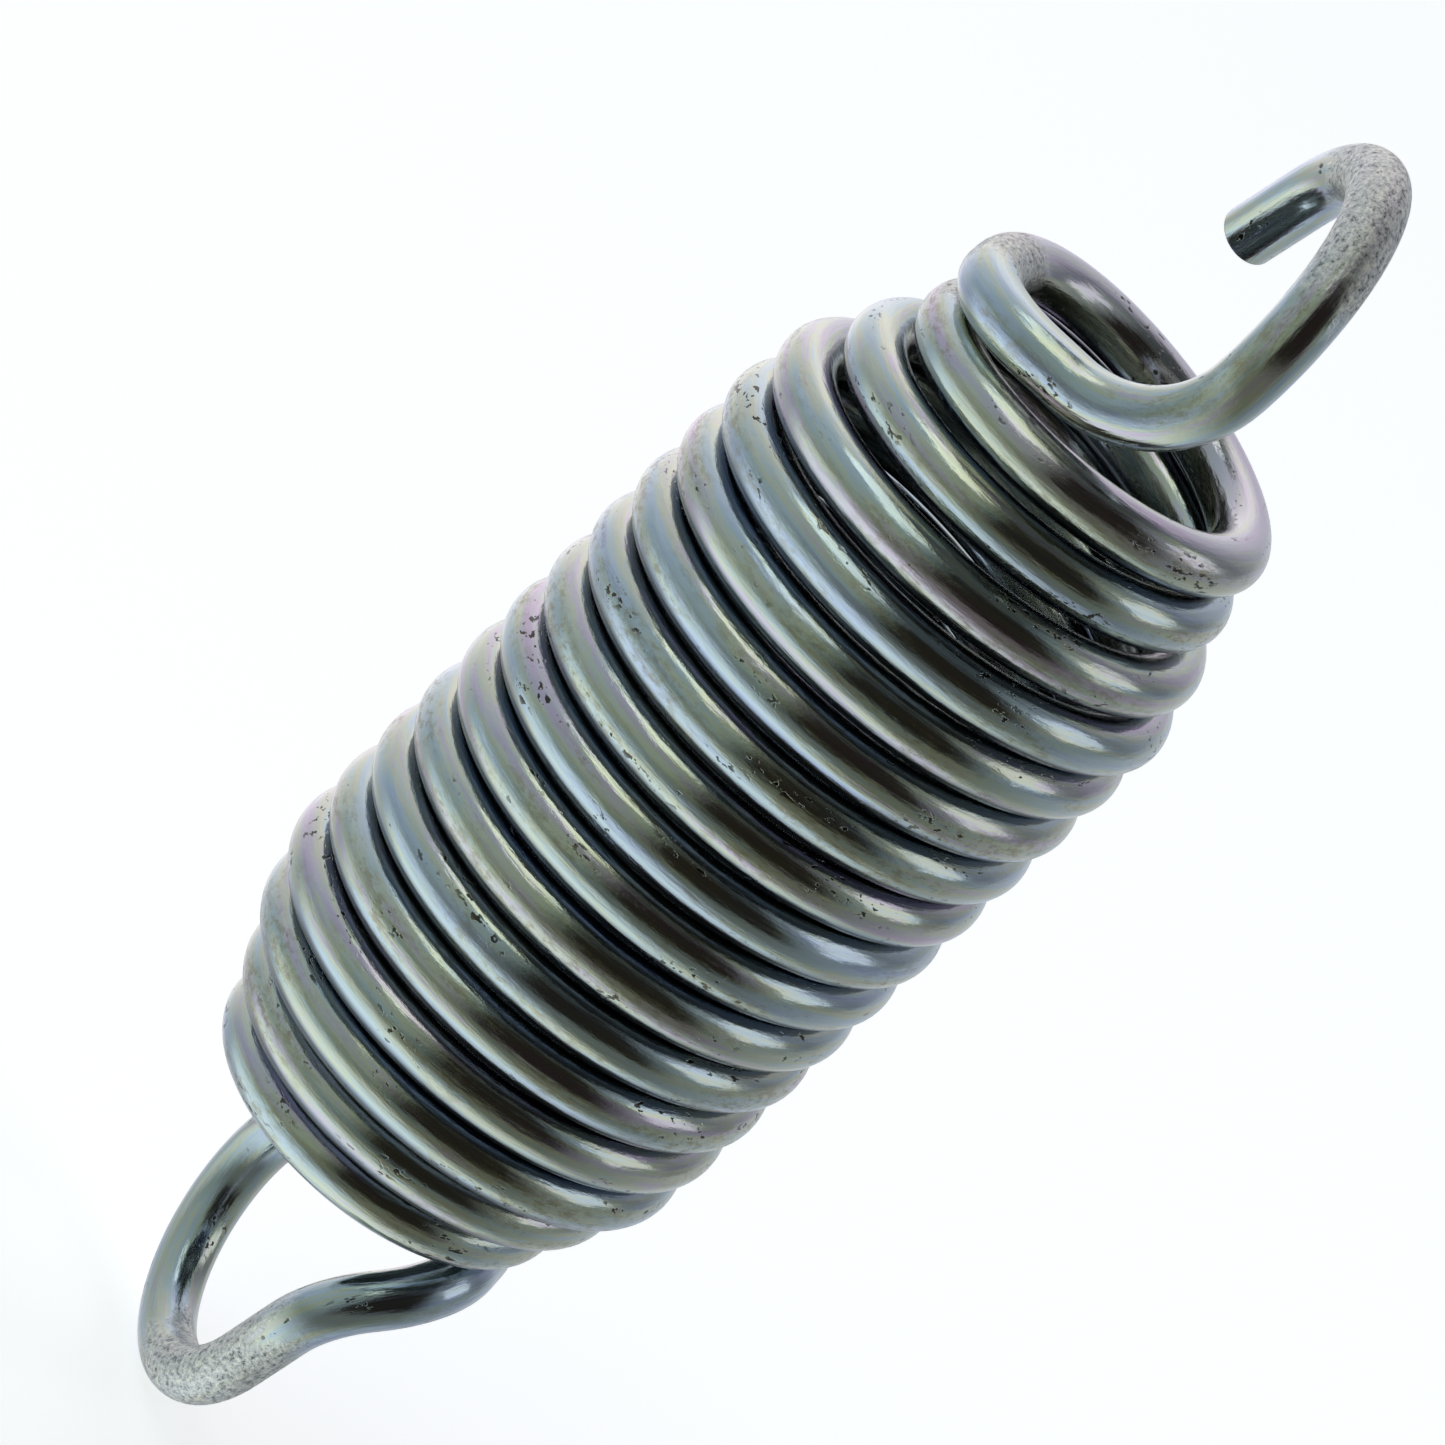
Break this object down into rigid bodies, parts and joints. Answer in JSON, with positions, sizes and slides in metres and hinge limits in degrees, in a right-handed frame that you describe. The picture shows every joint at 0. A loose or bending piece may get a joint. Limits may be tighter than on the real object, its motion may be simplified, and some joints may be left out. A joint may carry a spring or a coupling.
{
  "type": "extension spring",
  "caption": "Close-wound helical extension spring with tapered ends, a closed loop at one end and an open hook at the other.",
  "frame": {"origin": "on the coil's axis, level with the seat of the closed lower loop, where the anchor pin bears", "axes": "+Z along the coil's axis from the closed loop to the open hook; both loops lie roughly in the YZ plane and their pins run roughly along X; the open hook's near leg is on the -Y side"},
  "size_m": [0.044, 0.044, 0.1487],
  "materials": {
    "zinc_plated_wire": "bright zinc plating with a thin blue passivation, polished, lightly scratched"
  },
  "bodies": {
    "lower_end": {"lower_loop": "zinc_plated_wire", "lower_shank": "zinc_plated_wire"},
    "turn_01": {"turn_01": "zinc_plated_wire"},
    "turn_02": {"turn_02": "zinc_plated_wire"},
    "turn_03": {"turn_03": "zinc_plated_wire"},
    "turn_04": {"turn_04": "zinc_plated_wire"},
    "turn_05": {"turn_05": "zinc_plated_wire"},
    "turn_06": {"turn_06": "zinc_plated_wire"},
    "turn_07": {"turn_07": "zinc_plated_wire"},
    "turn_08": {"turn_08": "zinc_plated_wire"},
    "turn_09": {"turn_09": "zinc_plated_wire"},
    "turn_10": {"turn_10": "zinc_plated_wire"},
    "turn_11": {"turn_11": "zinc_plated_wire"},
    "turn_12": {"turn_12": "zinc_plated_wire"},
    "turn_13": {"turn_13": "zinc_plated_wire"},
    "turn_14": {"turn_14": "zinc_plated_wire"},
    "turn_15": {"turn_15": "zinc_plated_wire"},
    "turn_16": {"turn_16": "zinc_plated_wire"},
    "turn_17": {"turn_17": "zinc_plated_wire"},
    "upper_end": {"end_turn": "zinc_plated_wire", "upper_shank": "zinc_plated_wire", "upper_hook": "zinc_plated_wire"}
  },
  "joints": [
    {"name": "stretch", "type": "slide", "parent": "lower_end", "child": "upper_end", "axis": [0, 0, 1], "range_m": [0, 0.07], "stiffness_N_per_m": 5800},
    {"name": "turn_01_rise", "type": "slide", "parent": "lower_end", "child": "turn_01", "axis": [0, 0, 1], "range_m": [0, 0.002]},
    {"name": "turn_02_rise", "type": "slide", "parent": "lower_end", "child": "turn_02", "axis": [0, 0, 1], "range_m": [0, 0.006]},
    {"name": "turn_03_rise", "type": "slide", "parent": "lower_end", "child": "turn_03", "axis": [0, 0, 1], "range_m": [0, 0.01]},
    {"name": "turn_04_rise", "type": "slide", "parent": "lower_end", "child": "turn_04", "axis": [0, 0, 1], "range_m": [0, 0.014]},
    {"name": "turn_05_rise", "type": "slide", "parent": "lower_end", "child": "turn_05", "axis": [0, 0, 1], "range_m": [0, 0.018]},
    {"name": "turn_06_rise", "type": "slide", "parent": "lower_end", "child": "turn_06", "axis": [0, 0, 1], "range_m": [0, 0.022]},
    {"name": "turn_07_rise", "type": "slide", "parent": "lower_end", "child": "turn_07", "axis": [0, 0, 1], "range_m": [0, 0.026]},
    {"name": "turn_08_rise", "type": "slide", "parent": "lower_end", "child": "turn_08", "axis": [0, 0, 1], "range_m": [0, 0.03]},
    {"name": "turn_09_rise", "type": "slide", "parent": "lower_end", "child": "turn_09", "axis": [0, 0, 1], "range_m": [0, 0.034]},
    {"name": "turn_10_rise", "type": "slide", "parent": "lower_end", "child": "turn_10", "axis": [0, 0, 1], "range_m": [0, 0.038]},
    {"name": "turn_11_rise", "type": "slide", "parent": "lower_end", "child": "turn_11", "axis": [0, 0, 1], "range_m": [0, 0.042]},
    {"name": "turn_12_rise", "type": "slide", "parent": "lower_end", "child": "turn_12", "axis": [0, 0, 1], "range_m": [0, 0.046]},
    {"name": "turn_13_rise", "type": "slide", "parent": "lower_end", "child": "turn_13", "axis": [0, 0, 1], "range_m": [0, 0.05]},
    {"name": "turn_14_rise", "type": "slide", "parent": "lower_end", "child": "turn_14", "axis": [0, 0, 1], "range_m": [0, 0.054]},
    {"name": "turn_15_rise", "type": "slide", "parent": "lower_end", "child": "turn_15", "axis": [0, 0, 1], "range_m": [0, 0.058]},
    {"name": "turn_16_rise", "type": "slide", "parent": "lower_end", "child": "turn_16", "axis": [0, 0, 1], "range_m": [0, 0.062]},
    {"name": "turn_17_rise", "type": "slide", "parent": "lower_end", "child": "turn_17", "axis": [0, 0, 1], "range_m": [0, 0.066]}
  ],
  "couplings": [
    {"joint": "turn_01_rise", "follows": "stretch", "ratio": 0.028571},
    {"joint": "turn_02_rise", "follows": "stretch", "ratio": 0.085714},
    {"joint": "turn_03_rise", "follows": "stretch", "ratio": 0.14286},
    {"joint": "turn_04_rise", "follows": "stretch", "ratio": 0.2},
    {"joint": "turn_05_rise", "follows": "stretch", "ratio": 0.25714},
    {"joint": "turn_06_rise", "follows": "stretch", "ratio": 0.31429},
    {"joint": "turn_07_rise", "follows": "stretch", "ratio": 0.37143},
    {"joint": "turn_08_rise", "follows": "stretch", "ratio": 0.42857},
    {"joint": "turn_09_rise", "follows": "stretch", "ratio": 0.48571},
    {"joint": "turn_10_rise", "follows": "stretch", "ratio": 0.54286},
    {"joint": "turn_11_rise", "follows": "stretch", "ratio": 0.6},
    {"joint": "turn_12_rise", "follows": "stretch", "ratio": 0.65714},
    {"joint": "turn_13_rise", "follows": "stretch", "ratio": 0.71429},
    {"joint": "turn_14_rise", "follows": "stretch", "ratio": 0.77143},
    {"joint": "turn_15_rise", "follows": "stretch", "ratio": 0.82857},
    {"joint": "turn_16_rise", "follows": "stretch", "ratio": 0.88571},
    {"joint": "turn_17_rise", "follows": "stretch", "ratio": 0.94286}
  ]
}
